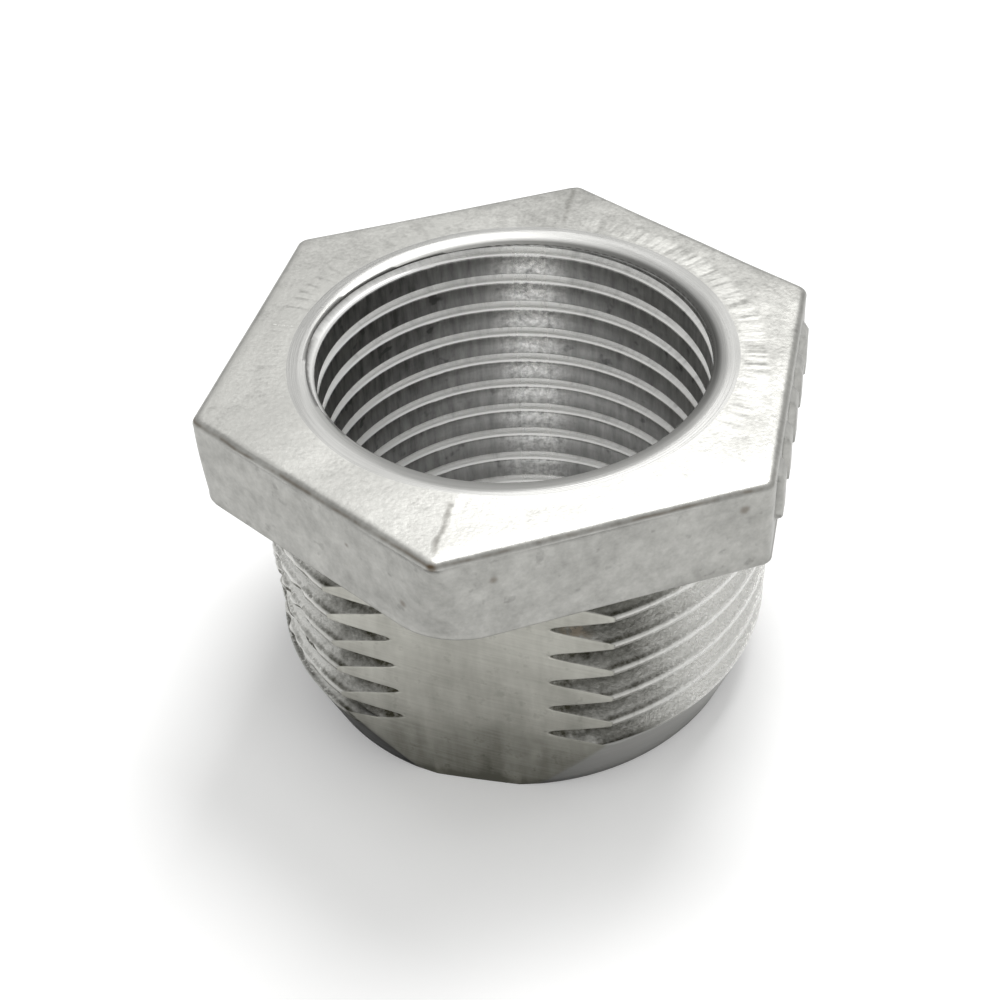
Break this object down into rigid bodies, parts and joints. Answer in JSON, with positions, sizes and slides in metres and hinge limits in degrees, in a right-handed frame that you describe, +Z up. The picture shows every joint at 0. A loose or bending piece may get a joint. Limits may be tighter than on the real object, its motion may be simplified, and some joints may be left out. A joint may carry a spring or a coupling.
{
  "type": "hex bushing",
  "caption": "Cast stainless hexagon reducer bushing: taper thread outside, straight thread right through the inside, hexagon head to turn it by",
  "frame": {"origin": "on the thread axis, in the flat end face of the outside thread that the bushing stands on", "axes": "+Z up along the thread axis to the hexagon; -Y through the hexagon corner with the ground flat beneath it; X across the hexagon's flats, square to the casting's parting plane"},
  "size_m": [0.0283, 0.0321, 0.019],
  "materials": {
    "cast_steel": "blasted cast stainless steel, satin grey, machined bright at the threads"
  },
  "bodies": {
    "root": {"bushing": "cast_steel"}
  },
  "joints": []
}
